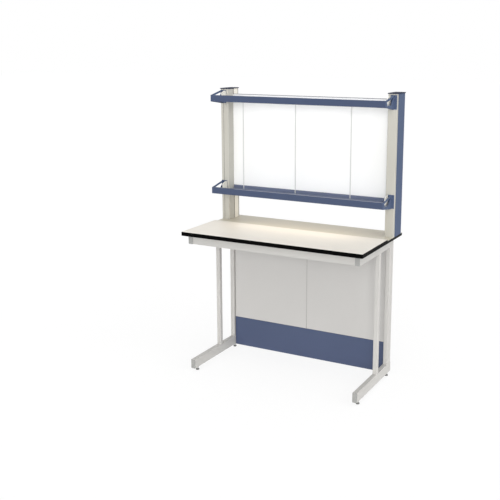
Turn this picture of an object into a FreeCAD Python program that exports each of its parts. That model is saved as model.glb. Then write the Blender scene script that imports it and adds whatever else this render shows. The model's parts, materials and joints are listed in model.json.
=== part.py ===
import FreeCAD, Part
import math
import os
import Sketcher

# Laboratory bench with a two-tier reagent shelf.
# X to the right, Y to the back, Z up, floor at Z = 0, origin in the middle of the footprint.
# Every size is in millimetres and is set here once, then read from the sheet.
SIZES = {
    # worktop and the lower rear ledge behind it
    "worktop_width": 1200,
    "worktop_depth": 395,
    "worktop_thickness": 25,
    "worktop_height": 925,
    "worktop_corner": 3,
    "board_edge": 1,
    "ledge_depth": 255,
    "ledge_drop": 8,
    # leg frames
    "leg_inset": 29,
    "frame_front": 35,
    "frame_back_inset": 60,
    "tube_wall": 2,
    "tube_corner": 3,
    "beam_width": 30,
    "beam_height": 60,
    "upright_side": 28,
    "upright_inset": 351,
    "column_width": 28,
    "column_depth": 56,
    "arm_width": 30,
    "arm_height": 56,
    "end_cap_thickness": 3,
    "end_cap_plug": 12,
    "plug_gap": 0.2,
    "head_plate_thickness": 6,
    # rails and panels between the leg frames
    "apron_setback": 5,
    "apron_depth": 20,
    "cross_rail_height": 40,
    "cross_rail_depth": 20,
    "panel_thickness": 16,
    "panel_setback": 15,
    "panel_gap": 1,
    "kick_height": 200,
    # levelling feet
    "foot_rise": 25,
    "foot_front_inset": 50,
    "foot_back_inset": 30,
    "pad_diameter": 22,
    "pad_top_diameter": 16,
    "pad_height": 10,
    "pad_socket": 6,
    "spindle_diameter": 8,
    "spindle_length": 46,
    "spindle_gap": 0.05,
    "collar_flats": 13,
    "collar_stop_gap": 0.3,
    "insert_diameter": 12,
    "insert_flange": 18,
    "insert_flange_thickness": 3,
    "insert_length": 16,
    # service posts
    "post_inset": 93,
    "post_width": 55,
    "post_front_depth": 63,
    "post_rear_depth": 61,
    "post_slot": 5,
    "post_wall": 2,
    "post_corner": 3,
    "post_head_room": 32,
    "post_groove_inset": 18,
    "post_groove_width": 2,
    "post_groove_depth": 6,
    "side_cover_thickness": 3,
    "side_cover_setback": 24,
    "side_cover_return": 14,
    "cap_thickness": 5,
    "cap_overhang": 4,
    "cap_corner": 6,
    "cap_plug": 8,
    "base_thickness": 6,
    "base_ear": 4,
    "base_height": 46,
    "base_gap": 0.3,
    # reagent shelf
    "shelf_rise": 188,
    "shelf_pitch": 590,
    "shelf_reach": 148,
    "front_rail_height": 40,
    "front_rail_depth": 20,
    "rear_rail_height": 30,
    "rear_rail_depth": 20,
    "rail_wall": 1.5,
    "rail_corner": 2,
    "tray_sheet": 2,
    "tray_lift": 8,
    "tray_side_gap": 0.5,
    "back_panel_thickness": 4.4,
    "back_panel_drop": 2,
    "back_panel_tongue": 5,
    # shelf brackets
    "bracket_sheet": 3,
    "bracket_rise": 25,
    "bracket_drop": 18,
    "bracket_flat": 20,
    "flange_inboard": 23,
    "flange_outboard": 14,
    "window_front": 23,
    "window_sill": 9,
    "window_strip": 12,
    "window_foot_margin": 55,
    "window_head_margin": 11,
    "cheek_thickness": 3,
    "cheek_depth": 53,
    "cheek_height": 53,
    "cheek_slope_depth": 28,
    "cheek_slope_height": 11,
    # tie rods between the shelves
    "rod_diameter": 6,
    "rod_spacing": 365,
    "rod_setback": 29,
    "rod_hole_gap": 0.2,
    "nut_flats": 10,
    "nut_height": 5,
    # screws and bolts
    "bolt_diameter": 8,
    "bolt_head_diameter": 13,
    "bolt_head_height": 8,
    "bolt_front_inset": 10,
    "bolt_spacing": 32,
    "screw_diameter": 5,
    "screw_head_diameter": 10,
    "screw_head_height": 3,
    "screw_bite": 12,
    "screw_first": 60,
    "screw_spacing": 110,
    "panel_screw_diameter": 4,
    "panel_screw_head": 8,
    "panel_screw_inset": 60,
    "bracket_screw_diameter": 6,
    "bracket_screw_head": 11,
    "bracket_screw_length": 12,
    "bracket_screw_margin": 10,
}

doc = FreeCAD.newDocument("lab_bench")
sheet = doc.addObject("Spreadsheet::Sheet", "size")
for row, (name, value) in enumerate(SIZES.items(), start=1):
    sheet.set(f"A{row}", name)
    sheet.set(f"B{row}", str(value))
    sheet.setAlias(f"B{row}", name)
doc.recompute()

NODES = []
TOUCH = 1e-6
ROUGH = 10
LEFT, RIGHT = "-", ""
SIDES = {"left": LEFT, "right": RIGHT}

# Places that several pieces share, as sheet formulas.
FRONT = "(-(size.worktop_depth + size.ledge_depth) / 2)"
HALF_WIDTH = "(size.worktop_width / 2)"
WEB_BACK = "(size.post_groove_depth + size.post_wall + size.base_gap)"
UNDERSIDE = "(size.worktop_height - size.worktop_thickness)"
LEDGE_TOP = "(size.worktop_height - size.ledge_drop)"
LEG_CENTRE = f"({HALF_WIDTH} - size.leg_inset - size.beam_width / 2)"
LEG_INNER = f"({LEG_CENTRE} - size.column_width / 2)"
BEAM_INNER = f"({LEG_CENTRE} - size.beam_width / 2)"
BEAM_TOP = "(size.foot_rise + size.beam_height)"
TUBE_START = f"({FRONT} + size.frame_front + size.end_cap_thickness)"
TUBE_END = (
    "((size.worktop_depth + size.ledge_depth) / 2 - size.frame_back_inset - size.end_cap_thickness)"
)
COLUMN_FRONT = f"({TUBE_END} - size.column_depth)"
ARM_BOTTOM = f"({UNDERSIDE} - size.arm_height)"
PANEL_FRONT = f"({COLUMN_FRONT} + size.panel_setback)"
RAIL_FRONT = f"({PANEL_FRONT} + size.panel_thickness)"
KICK_TOP = "(size.foot_rise + size.kick_height)"
POST_FRONT = f"({FRONT} + size.worktop_depth + size.post_inset)"
SLOT_FRONT = f"({POST_FRONT} + size.post_front_depth)"
SLOT_BACK = f"({SLOT_FRONT} + size.post_slot)"
POST_BACK = f"({SLOT_BACK} + size.post_rear_depth)"
POST_INNER = f"({HALF_WIDTH} - size.post_width)"
SHELF_FRONT = f"({POST_FRONT} - size.shelf_reach)"
FLANGE_FRONT = f"({POST_FRONT} - size.bracket_sheet)"
RAIL_HALF = f"({HALF_WIDTH} - size.flange_outboard - size.bracket_sheet)"
FLANGE_WIDTH = "(size.flange_inboard + size.bracket_sheet + size.flange_outboard)"
LOWER_SHELF = "(size.worktop_height + size.shelf_rise)"
UPPER_SHELF = f"({LOWER_SHELF} + size.shelf_pitch)"
SHELVES = {"lower": LOWER_SHELF, "upper": UPPER_SHELF}
POST_TOP = f"({UPPER_SHELF} + size.front_rail_height + size.post_head_room)"
POST_HEIGHT = f"({POST_TOP} - {LEDGE_TOP})"
TIE_RODS = {"left_tie_rod": "-size.rod_spacing", "centre_tie_rod": "0", "right_tie_rod": "size.rod_spacing"}

ROLES = {"XY": "XY_Plane", "XZ": "XZ_Plane", "YZ": "YZ_Plane"}
SECTION = {"X": "YZ", "Y": "XZ", "Z": "XY"}


def new_body(label, at):
    """A named body, placed by three sheet formulas."""
    body = doc.addObject("PartDesign::Body", label)
    body.Label = label
    place(body, at)
    NODES.append(body)
    return body


def place(item, at):
    for axis, formula in zip("xyz", at):
        item.setExpression(f"Placement.Base.{axis}", formula)


def new_sketch(body, name, plane, offset=None):
    """A sketch on one of the body's own origin planes, moved along its normal by a formula."""
    sketch = body.newObject("Sketcher::SketchObject", f"{body.Label}_{name}")
    origin = next(item for item in body.Origin.OriginFeatures if item.Role == ROLES[plane])
    sketch.AttachmentSupport = [(origin, "")]
    sketch.MapMode = "FlatFace"
    if offset:
        sketch.setExpression("AttachmentOffset.Base.z", offset)
    return sketch


def pin(sketch, geometry, point, x, y):
    """Ties one point of the sketch to two formulas; "0" puts it on the axis."""
    for kind, formula, axis in (("DistanceX", x, -2), ("DistanceY", y, -1)):
        if formula == "0":
            sketch.addConstraint(Sketcher.Constraint("PointOnObject", geometry, point, axis))
        else:
            index = sketch.addConstraint(Sketcher.Constraint(kind, -1, 1, geometry, point, 1.0))
            sketch.setExpression(f"Constraints[{index}]", formula)


def outline(sketch, points):
    """A closed line through points given as pairs of formulas."""
    first = sketch.GeometryCount
    count = len(points)
    start = [turn_point(index, count) for index in range(count)]
    for index in range(count):
        line = Part.LineSegment(start[index], start[(index + 1) % count])
        sketch.addGeometry(line, False)
    for index in range(count):
        following = first + (index + 1) % count
        sketch.addConstraint(Sketcher.Constraint("Coincident", first + index, 2, following, 1))
    for index, (x, y) in enumerate(points):
        pin(sketch, first + index, 1, x, y)


def turn_point(index, count):
    """Rough starting place of an outline's corner, before its formulas set it."""
    angle = 2 * math.pi * index / count
    return FreeCAD.Vector(math.cos(angle), math.sin(angle), 0) * ROUGH


def rectangle(sketch, x0, y0, x1, y1):
    outline(sketch, [(x0, y0), (x1, y0), (x1, y1), (x0, y1)])


def circles(sketch, centres, diameter):
    for x, y in centres:
        ring = Part.Circle(FreeCAD.Vector(ROUGH, ROUGH, 0), FreeCAD.Vector(0, 0, 1), 1)
        geometry = sketch.addGeometry(ring, False)
        pin(sketch, geometry, 3, x, y)
        index = sketch.addConstraint(Sketcher.Constraint("Diameter", geometry, 2.0))
        sketch.setExpression(f"Constraints[{index}]", diameter)


def pad(body, sketch, length, backwards=False):
    feature = body.newObject("PartDesign::Pad", f"{sketch.Label}_pad")
    feature.Profile = sketch
    feature.Reversed = backwards
    feature.setExpression("Length", length)
    sketch.Visibility = False
    doc.recompute()
    return feature


def pocket(body, sketch, depth):
    """Cuts the sketch into the body; the direction is the one that takes material away."""
    before = body.Shape.Volume
    feature = body.newObject("PartDesign::Pocket", f"{sketch.Label}_cut")
    feature.Profile = sketch
    feature.setExpression("Length", depth)
    for backwards in (False, True):
        feature.Reversed = backwards
        doc.recompute()
        if before - body.Shape.Volume > 0.01:
            return feature
    raise RuntimeError(f"{sketch.Label} cuts nothing")


def holes(body, name, plane, centres, diameter, depth, offset=None):
    sketch = new_sketch(body, name, plane, offset)
    circles(sketch, centres, diameter)
    return pocket(body, sketch, depth)


def outer_edges(shape, axis):
    """The straight edges along one axis that lie on the corners of the box round the shape."""
    box = shape.BoundBox
    low = (box.XMin, box.YMin, box.ZMin)
    high = (box.XMax, box.YMax, box.ZMax)
    along = "XYZ".index(axis)
    others = [index for index in range(3) if index != along]
    found = []
    for number, edge in enumerate(shape.Edges, start=1):
        first, last = edge.Vertexes[0].Point, edge.Vertexes[-1].Point
        spans = abs(first[along] - last[along]) > TOUCH
        corner = all(
            abs(first[index] - last[index]) < TOUCH
            and min(abs(first[index] - low[index]), abs(first[index] - high[index])) < TOUCH
            for index in others
        )
        if spans and corner:
            found.append(f"Edge{number}")
    return found


def edges_at(shape, axis, height):
    """The open edges that lie wholly at one height along an axis: the outline, not the holes."""
    found = []
    for number, edge in enumerate(shape.Edges, start=1):
        points = [vertex.Point for vertex in edge.Vertexes]
        points.append(edge.valueAt((edge.FirstParameter + edge.LastParameter) / 2))
        level = all(abs(point["XYZ".index(axis)] - height) < TOUCH for point in points)
        if level and not edge.isClosed():
            found.append(f"Edge{number}")
    return found


def soften(body, name, edges, radius):
    """Rounds the named edges of the body's last feature."""
    base = body.Tip
    feature = body.newObject("PartDesign::Fillet", f"{body.Label}_{name}")
    feature.Base = (base, edges)
    feature.setExpression("Radius", radius)
    doc.recompute()
    return feature


def bar(label, axis, first, second, length, at, wall=None, corner=None):
    """A straight bar or tube along one axis, its section set by two formulas."""
    body = new_body(label, at)
    sketch = new_sketch(body, "section", SECTION[axis])
    rectangle(sketch, "0", "0", first, second)
    if wall:
        rectangle(sketch, wall, wall, f"{first} - {wall}", f"{second} - {wall}")
    pad(body, sketch, length, backwards=axis == "Y")
    if corner:
        soften(body, "corners", outer_edges(body.Tip.Shape, axis), corner)
    return body


def across(side, outer, width):
    """Where a piece of this width starts in X when its outer face is at this distance."""
    return f"{outer} - {width}" if side == RIGHT else f"-{outer}"


def centred(side, width):
    """Where a piece of this width starts in X when it stands in the middle of a leg frame."""
    return f"{side}{LEG_CENTRE} - {width} / 2"


def group(label, bodies):
    """Several equal loose pieces kept in one node."""
    compound = doc.addObject("Part::Compound", label)
    compound.Label = label
    compound.Links = bodies
    for body in bodies:
        NODES.remove(body)
    NODES.append(compound)


def turned(body, points):
    """Turns a closed outline in the XZ plane round the body's Z axis."""
    sketch = new_sketch(body, "outline", "XZ")
    outline(sketch, points)
    feature = body.newObject("PartDesign::Revolution", f"{body.Label}_turned")
    feature.Profile = sketch
    feature.ReferenceAxis = (sketch, ["V_Axis"])
    feature.Angle = 360
    sketch.Visibility = False
    doc.recompute()


# Worktop and ledge
def make_worktop():
    worktop = new_body("worktop", (f"-{HALF_WIDTH}", FRONT, UNDERSIDE))
    sketch = new_sketch(worktop, "board", "XY")
    rectangle(sketch, "0", "0", "size.worktop_width", "size.worktop_depth")
    pad(worktop, sketch, "size.worktop_thickness")
    corners = outer_edges(worktop.Tip.Shape, "Z")
    front = [name for name in corners if edge_middle(worktop, name).y < 1]
    soften(worktop, "corners", front, "size.worktop_corner")
    holes(
        worktop,
        "screw_holes",
        "XY",
        [(f"{HALF_WIDTH} + ({side}{LEG_CENTRE})", y) for side in (LEFT, RIGHT) for y in screw_rows()],
        "size.screw_diameter",
        "size.screw_bite",
    )
    top = edges_at(worktop.Tip.Shape, "Z", worktop.Tip.Shape.BoundBox.ZMax)
    soften(worktop, "top_edge", top, "size.board_edge")


def edge_middle(body, name):
    edge = body.Tip.Shape.getElement(name)
    return edge.valueAt((edge.FirstParameter + edge.LastParameter) / 2)


def screw_rows():
    """Distances of the worktop screws from the front edge of the worktop."""
    first = "size.frame_front + size.screw_first"
    return [f"{first} + {index} * size.screw_spacing" for index in range(3)]


def bolt_rows(start):
    """Distances of the two post bolts from a formula that gives the column's front face."""
    first = f"{start} + size.bolt_front_inset"
    return [first, f"{first} + size.bolt_spacing"]


def make_ledge():
    ledge = new_body("rear_ledge", (f"-{HALF_WIDTH}", f"{FRONT} + size.worktop_depth", UNDERSIDE))
    sketch = new_sketch(ledge, "board", "XY")
    rectangle(sketch, "0", "0", "size.worktop_width", "size.ledge_depth")
    pad(ledge, sketch, "size.worktop_thickness - size.ledge_drop")
    start = f"{COLUMN_FRONT} - ({FRONT} + size.worktop_depth)"
    holes(
        ledge,
        "bolt_holes",
        "XY",
        [
            (f"{HALF_WIDTH} + ({side}{LEG_CENTRE})", y)
            for side in (LEFT, RIGHT)
            for y in bolt_rows(start)
        ],
        "size.bolt_diameter",
        "size.worktop_thickness",
    )
    top = edges_at(ledge.Tip.Shape, "Z", ledge.Tip.Shape.BoundBox.ZMax)
    soften(ledge, "top_edge", top, "size.board_edge")


# Leg frames
def make_leg_frame(name, side):
    run = f"{TUBE_END} - {TUBE_START}"
    beam = bar(
        f"{name}_foot_beam",
        "Y",
        "size.beam_width",
        "size.beam_height",
        run,
        (centred(side, "size.beam_width"), TUBE_START, "size.foot_rise"),
        "size.tube_wall",
        "size.tube_corner",
    )
    holes(
        beam,
        "foot_holes",
        "XY",
        [("size.beam_width / 2", f"{y} - {TUBE_START}") for y in foot_rows()],
        "size.insert_diameter",
        "size.tube_wall",
    )
    bar(
        f"{name}_front_upright",
        "Z",
        "size.upright_side",
        "size.upright_side",
        f"{ARM_BOTTOM} - {BEAM_TOP}",
        (centred(side, "size.upright_side"), f"{FRONT} + size.upright_inset", BEAM_TOP),
        "size.tube_wall",
        "size.tube_corner",
    )
    bar(
        f"{name}_rear_column",
        "Z",
        "size.column_width",
        "size.column_depth",
        f"{UNDERSIDE} - {BEAM_TOP}",
        (centred(side, "size.column_width"), COLUMN_FRONT, BEAM_TOP),
        "size.tube_wall",
        "size.tube_corner",
    )
    arm = bar(
        f"{name}_top_arm",
        "Y",
        "size.arm_width",
        "size.arm_height",
        f"{COLUMN_FRONT} - {TUBE_START}",
        (centred(side, "size.arm_width"), TUBE_START, ARM_BOTTOM),
        "size.tube_wall",
        "size.tube_corner",
    )
    holes(
        arm,
        "screw_holes",
        "XY",
        [("size.arm_width / 2", f"{FRONT} + {y} - {TUBE_START}") for y in screw_rows()],
        "size.screw_diameter",
        "size.arm_height",
    )
    wall = "size.tube_wall"
    head = bar(
        f"{name}_column_head_plate",
        "Z",
        f"size.column_width - 2 * {wall}",
        f"size.column_depth - 2 * {wall}",
        "size.head_plate_thickness",
        (
            f"{centred(side, 'size.column_width')} + {wall}",
            f"{COLUMN_FRONT} + {wall}",
            f"{UNDERSIDE} - size.head_plate_thickness",
        ),
    )
    holes(
        head,
        "bolt_holes",
        "XY",
        [(f"size.column_width / 2 - {wall}", f"{y} - {wall}") for y in bolt_rows("0")],
        "size.bolt_diameter",
        "size.head_plate_thickness",
    )


def foot_rows():
    """Y of the levelling feet, front and back."""
    return [
        f"({TUBE_START} - size.end_cap_thickness + size.foot_front_inset)",
        f"({TUBE_END} + size.end_cap_thickness - size.foot_back_inset)",
    ]


def end_cap(label, width, height, at_x, at_z, outer_y, into):
    """A moulded cap with a plug; into is 1 when the plug goes towards the back, -1 to the front."""
    depth = "size.end_cap_thickness"
    start = outer_y if into == 1 else f"{outer_y} - {depth}"
    cap = new_body(label, (at_x, start, at_z))
    sketch = new_sketch(cap, "face", "XZ")
    rectangle(sketch, "0", "0", width, height)
    pad(cap, sketch, depth, backwards=True)
    soften(cap, "corners", outer_edges(cap.Tip.Shape, "Y"), "size.tube_corner")
    far = cap.Tip.Shape.BoundBox.YMin if into == 1 else cap.Tip.Shape.BoundBox.YMax
    soften(cap, "face_edge", edges_at(cap.Tip.Shape, "Y", far), "size.board_edge")
    inset = "(size.tube_wall + size.plug_gap)"
    plug = new_sketch(cap, "plug", "XZ", f"-{depth}" if into == 1 else None)
    rectangle(plug, inset, inset, f"{width} - {inset}", f"{height} - {inset}")
    pad(cap, plug, "size.end_cap_plug", backwards=into == 1)
    return cap


def make_end_caps():
    foot_caps, arm_caps = [], []
    for name, side in SIDES.items():
        at = (centred(side, "size.beam_width"), "size.foot_rise")
        beam = ("size.beam_width", "size.beam_height", *at)
        front = f"{FRONT} + size.frame_front"
        rear = f"{TUBE_END} + size.end_cap_thickness"
        foot_caps.append(end_cap(f"{name}_foot_front_cap", *beam, front, 1))
        foot_caps.append(end_cap(f"{name}_foot_rear_cap", *beam, rear, -1))
        arm = ("size.arm_width", "size.arm_height", centred(side, "size.arm_width"), ARM_BOTTOM)
        arm_caps.append(end_cap(f"{name}_arm_cap", *arm, front, 1))
    group("foot_beam_end_caps", foot_caps)
    group("arm_end_caps", arm_caps)


# Rails and panels
def make_rails():
    arm_inner = f"({LEG_CENTRE} - size.arm_width / 2)"
    bar(
        "apron_rail",
        "X",
        "size.apron_depth",
        "size.arm_height",
        f"2 * {arm_inner}",
        (f"-{arm_inner}", f"{FRONT} + size.frame_front + size.apron_setback", ARM_BOTTOM),
        "size.rail_wall",
        "size.rail_corner",
    )
    heights = {
        "rear_top_rail": f"{UNDERSIDE} - size.cross_rail_height",
        "rear_lower_rail": f"{KICK_TOP} - size.cross_rail_height / 2",
    }
    for label, bottom in heights.items():
        rail = bar(
            label,
            "X",
            "size.cross_rail_depth",
            "size.cross_rail_height",
            f"2 * {LEG_INNER}",
            (f"-{LEG_INNER}", RAIL_FRONT, bottom),
            "size.rail_wall",
            "size.rail_corner",
        )
        rows = ["size.cross_rail_height / 2"]
        if label == "rear_lower_rail":
            rows = ["size.cross_rail_height / 4", "3 * size.cross_rail_height / 4"]
        centres = [(x, z) for x in panel_screw_columns() for z in rows]
        holes(
            rail, "screw_holes", "XZ", centres, "size.panel_screw_diameter", "size.cross_rail_depth"
        )


def panel_screw_columns():
    """Distances of the panel screws from the left end of a cross rail."""
    inset = "size.panel_screw_inset"
    return [
        inset,
        f"{LEG_INNER} - {inset}",
        f"{LEG_INNER} + {inset}",
        f"2 * {LEG_INNER} - {inset}",
    ]


def make_panels():
    half = "size.panel_gap / 2"
    top_screw = "size.cross_rail_height / 2"
    for name, side in SIDES.items():
        start = f"-{LEG_INNER} + {half}" if side == LEFT else half
        floor = f"({KICK_TOP} + {half})"
        height = f"({UNDERSIDE} - {half} - {floor})"
        panel = bar(
            f"{name}_modesty_panel",
            "Y",
            f"{LEG_INNER} - size.panel_gap",
            height,
            "size.panel_thickness",
            (start, PANEL_FRONT, floor),
        )
        columns = panel_screw_columns()[:2] if side == LEFT else panel_screw_columns()[2:]
        shift = f"({start} + {LEG_INNER})"
        rows = [f"size.cross_rail_height / 4 - {half}", f"{height} + {half} - {top_screw}"]
        centres = [(f"{x} - {shift}", z) for x in columns for z in rows]
        drill_back(panel, centres)
        finish_panel(panel)
    kick = bar(
        "kick_panel",
        "Y",
        f"2 * {BEAM_INNER} - size.panel_gap",
        f"(size.kick_height - {half})",
        "size.panel_thickness",
        (f"-{BEAM_INNER} + {half}", PANEL_FRONT, "size.foot_rise"),
    )
    shift = f"({LEG_INNER} - {BEAM_INNER} + {half})"
    row = "size.kick_height - size.cross_rail_height / 4"
    drill_back(kick, [(f"{x} - {shift}", row) for x in panel_screw_columns()])
    finish_panel(kick)


def drill_back(panel, centres):
    """Blind screw holes in the back of a panel."""
    offset = "-size.panel_thickness"
    holes(panel, "screw_holes", "XZ", centres, "size.panel_screw_diameter", "size.screw_bite", offset)


def finish_panel(panel):
    face = edges_at(panel.Tip.Shape, "Y", panel.Tip.Shape.BoundBox.YMin)
    soften(panel, "face_edge", face, "size.board_edge")


# Service posts
def channel(label, depth, at, closed_front, groove=None):
    """Half a post: a folded channel, open to the slot, with a groove folded into its front."""
    width, wall = "size.post_width", "size.post_wall"
    body = new_body(label, at)
    sketch = new_sketch(body, "section", "XY")
    inner = f"{width} - {wall}"
    web, mouth, back = (wall, depth, "0") if closed_front else (f"{depth} - {wall}", "0", depth)
    points = [("0", back), ("0", mouth), (wall, mouth), (wall, web)]
    if groove:
        start, end = groove
        floor = "size.post_groove_depth"
        behind = f"{floor} + {wall}"
        points += [
            (f"{start} - {wall}", wall),
            (f"{start} - {wall}", behind),
            (f"{end} + {wall}", behind),
            (f"{end} + {wall}", wall),
        ]
    points += [(inner, web), (inner, mouth), (width, mouth), (width, back)]
    if groove:
        points += [(end, "0"), (end, floor), (start, floor), (start, "0")]
    outline(sketch, points)
    pad(body, sketch, POST_HEIGHT)
    box = body.Tip.Shape.BoundBox
    closed = box.YMin if closed_front else box.YMax
    corners = [
        name
        for name in outer_edges(body.Tip.Shape, "Z")
        if abs(edge_middle(body, name).y - closed) < TOUCH
    ]
    soften(body, "corners", corners, "size.post_corner")
    return body


def make_post(name, side):
    x = across(side, HALF_WIDTH, "size.post_width")
    # only the left post has the groove
    start = "size.post_groove_inset"
    groove = (start, f"({start} + size.post_groove_width)") if side == LEFT else None
    front = channel(
        f"{name}_post_front", "size.post_front_depth", (x, POST_FRONT, LEDGE_TOP), True, groove
    )
    flange_start = "0" if side == LEFT else f"(size.post_width - {FLANGE_WIDTH})"
    screw_x = f"{flange_start} + {bracket_screw_x(side)}"
    centres = [
        (screw_x, f"{bottom} + {z} - {LEDGE_TOP}")
        for bottom in SHELVES.values()
        for z in bracket_screw_rows()
    ]
    wall = "size.post_wall"
    holes(front, "bracket_holes", "XZ", centres, "size.bracket_screw_diameter", wall)
    channel(f"{name}_post_rear", "size.post_rear_depth", (x, SLOT_BACK, LEDGE_TOP), False)
    make_side_cover(name, side)
    make_cap(name, side)
    make_base(name, side)


def bracket_screw_x(side):
    """Distance of the bracket screws from the left edge of the bracket's flange."""
    inboard = "size.flange_inboard / 2"
    return inboard if side == RIGHT else f"({FLANGE_WIDTH} - {inboard})"


def bracket_screw_rows():
    """Heights of the bracket screws above the bottom of the shelf's front rail."""
    top = "size.front_rail_height + size.bracket_rise - size.bracket_screw_margin"
    return ["-size.bracket_drop + size.bracket_screw_margin", top]


def make_side_cover(name, side):
    """A folded blue sheet on the outer side of the post, turned in behind it."""
    sheet_metal = "size.side_cover_thickness"
    reach = "size.side_cover_return"
    length = f"({POST_BACK} - {POST_FRONT} - size.side_cover_setback + {sheet_metal})"
    total = f"({reach} + {sheet_metal})"
    x = f"{HALF_WIDTH} - {reach}" if side == RIGHT else f"-{HALF_WIDTH} - {sheet_metal}"
    front = f"{POST_FRONT} + size.side_cover_setback"
    body = new_body(f"{name}_post_cover", (x, front, LEDGE_TOP))
    inner = f"({length} - {sheet_metal})"
    right = [
        (reach, "0"),
        (total, "0"),
        (total, length),
        ("0", length),
        ("0", inner),
        (reach, inner),
    ]
    left = [
        ("0", "0"),
        (sheet_metal, "0"),
        (sheet_metal, inner),
        (total, inner),
        (total, length),
        ("0", length),
    ]
    sketch = new_sketch(body, "section", "XY")
    outline(sketch, right if side == RIGHT else left)
    pad(body, sketch, POST_HEIGHT)
    back = body.Tip.Shape.BoundBox.YMax
    outer = body.Tip.Shape.BoundBox.XMax if side == RIGHT else body.Tip.Shape.BoundBox.XMin
    corner = [
        edge
        for edge in outer_edges(body.Tip.Shape, "Z")
        if abs(edge_middle(body, edge).y - back) < TOUCH
        and abs(edge_middle(body, edge).x - outer) < TOUCH
    ]
    soften(body, "fold", corner, "size.rail_corner")


def make_cap(name, side):
    over = "size.cap_overhang"
    cover = "size.side_cover_thickness"
    width = f"(size.post_width + {cover} + 2 * {over})"
    length = f"({POST_BACK} - {POST_FRONT} + {cover} + 2 * {over})"
    x = f"{POST_INNER} - {over}" if side == RIGHT else f"-{HALF_WIDTH} - {cover} - {over}"
    cap = new_body(f"{name}_post_cap", (x, f"{POST_FRONT} - {over}", POST_TOP))
    sketch = new_sketch(cap, "plate", "XY")
    rectangle(sketch, "0", "0", width, length)
    pad(cap, sketch, "size.cap_thickness")
    soften(cap, "corners", outer_edges(cap.Tip.Shape, "Z"), "size.cap_corner")
    top = edges_at(cap.Tip.Shape, "Z", cap.Tip.Shape.BoundBox.ZMax)
    soften(cap, "top_edge", top, "size.board_edge")
    plug = new_sketch(cap, "plug", "XY")
    side_gap = "(size.post_wall + size.base_gap)"
    start = f"({over} + {side_gap})" if side == RIGHT else f"({over} + {cover} + {side_gap})"
    end = f"({start} + size.post_width - 2 * {side_gap})"
    back = f"({length} - {over} - {cover} - {side_gap})"
    rectangle(plug, start, f"{over} + {WEB_BACK}", end, back)
    pad(cap, plug, "size.cap_plug", backwards=True)


def make_base(name, side):
    """The foot inside the post: a plate bolted to the column, with an ear at each end."""
    gap = "(size.post_wall + size.base_gap)"
    width = f"(size.post_width - 2 * {gap})"
    length = f"({POST_BACK} - {POST_FRONT} - {WEB_BACK} - {gap})"
    ear = "size.base_ear"
    x = f"{across(side, HALF_WIDTH, 'size.post_width')} + {gap}"
    body = new_body(f"{name}_post_base", (x, f"{POST_FRONT} + {WEB_BACK}", LEDGE_TOP))
    sketch = new_sketch(body, "profile", "YZ")
    outline(
        sketch,
        [
            ("0", "0"),
            (length, "0"),
            (length, "size.base_height"),
            (f"{length} - {ear}", "size.base_height"),
            (f"{length} - {ear}", "size.base_thickness"),
            (ear, "size.base_thickness"),
            (ear, "size.base_height"),
            ("0", "size.base_height"),
        ],
    )
    pad(body, sketch, width)
    start = f"({COLUMN_FRONT} - ({POST_FRONT} + {WEB_BACK}))"
    centre = f"({side}{LEG_CENTRE}) - ({x})"
    holes(
        body,
        "bolt_holes",
        "XY",
        [(centre, y) for y in bolt_rows(start)],
        "size.bolt_diameter",
        "size.base_thickness",
    )


# Reagent shelf
def make_shelf(level, bottom):
    bar(
        f"{level}_shelf_front_rail",
        "X",
        "size.front_rail_depth",
        "size.front_rail_height",
        f"2 * {RAIL_HALF}",
        (f"-{RAIL_HALF}", SHELF_FRONT, bottom),
        "size.rail_wall",
        "size.rail_corner",
    )
    rear = SLOT_FRONT if level == "lower" else SLOT_BACK
    bar(
        f"{level}_shelf_rear_rail",
        "X",
        "size.rear_rail_depth",
        "size.rear_rail_height",
        f"2 * {POST_INNER}",
        (f"-{POST_INNER}", rear, bottom),
        "size.rail_wall",
        "size.rail_corner",
    )
    make_tray(level, bottom)
    for name, side in SIDES.items():
        make_bracket(f"{level}_{name}", side, bottom)


def make_tray(level, bottom):
    """A folded tray floor, notched at the back to pass between the posts."""
    gap = "size.tray_side_gap"
    half = f"({RAIL_HALF} - {gap})"
    neck = f"({POST_INNER} - {gap})"
    start = f"({SHELF_FRONT} + size.front_rail_depth)"
    shoulder = f"({FLANGE_FRONT} - {gap} - {start})"
    depth = f"({SLOT_FRONT} - {start})"
    rim = "size.tray_sheet"
    body = new_body(f"{level}_shelf_tray", (f"-{half}", start, bottom))
    sketch = new_sketch(body, "floor", "XY")
    outline(sketch, tray_outline(half, neck, shoulder, depth, "0"))
    pad(body, sketch, "size.tray_lift")
    hollow = new_sketch(body, "hollow", "XY")
    outline(hollow, tray_outline(half, neck, shoulder, depth, rim))
    pocket(body, hollow, f"size.tray_lift - {rim}")
    centres = [
        (f"{half} + ({x})", "size.rod_setback - size.front_rail_depth")
        for x in TIE_RODS.values()
    ]
    diameter = "size.rod_diameter + 2 * size.rod_hole_gap"
    holes(body, "rod_holes", "XY", centres, diameter, "size.tray_lift")


def tray_outline(half, neck, shoulder, depth, rim):
    """The tray's outline, drawn in by the width of its rim."""
    if rim == "0":
        inset = "0"
        left_neck, right_neck = f"({half} - {neck})", f"({half} + {neck})"
        return [
            (inset, inset),
            (f"2 * {half}", inset),
            (f"2 * {half}", shoulder),
            (right_neck, shoulder),
            (right_neck, depth),
            (left_neck, depth),
            (left_neck, shoulder),
            (inset, shoulder),
        ]
    left_neck, right_neck = f"({half} - {neck} + {rim})", f"({half} + {neck} - {rim})"
    return [
        (rim, rim),
        (f"2 * {half} - {rim}", rim),
        (f"2 * {half} - {rim}", f"{shoulder} - {rim}"),
        (right_neck, f"{shoulder} - {rim}"),
        (right_neck, f"{depth} - {rim}"),
        (left_neck, f"{depth} - {rim}"),
        (left_neck, f"{shoulder} - {rim}"),
        (rim, f"{shoulder} - {rim}"),
    ]


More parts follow.
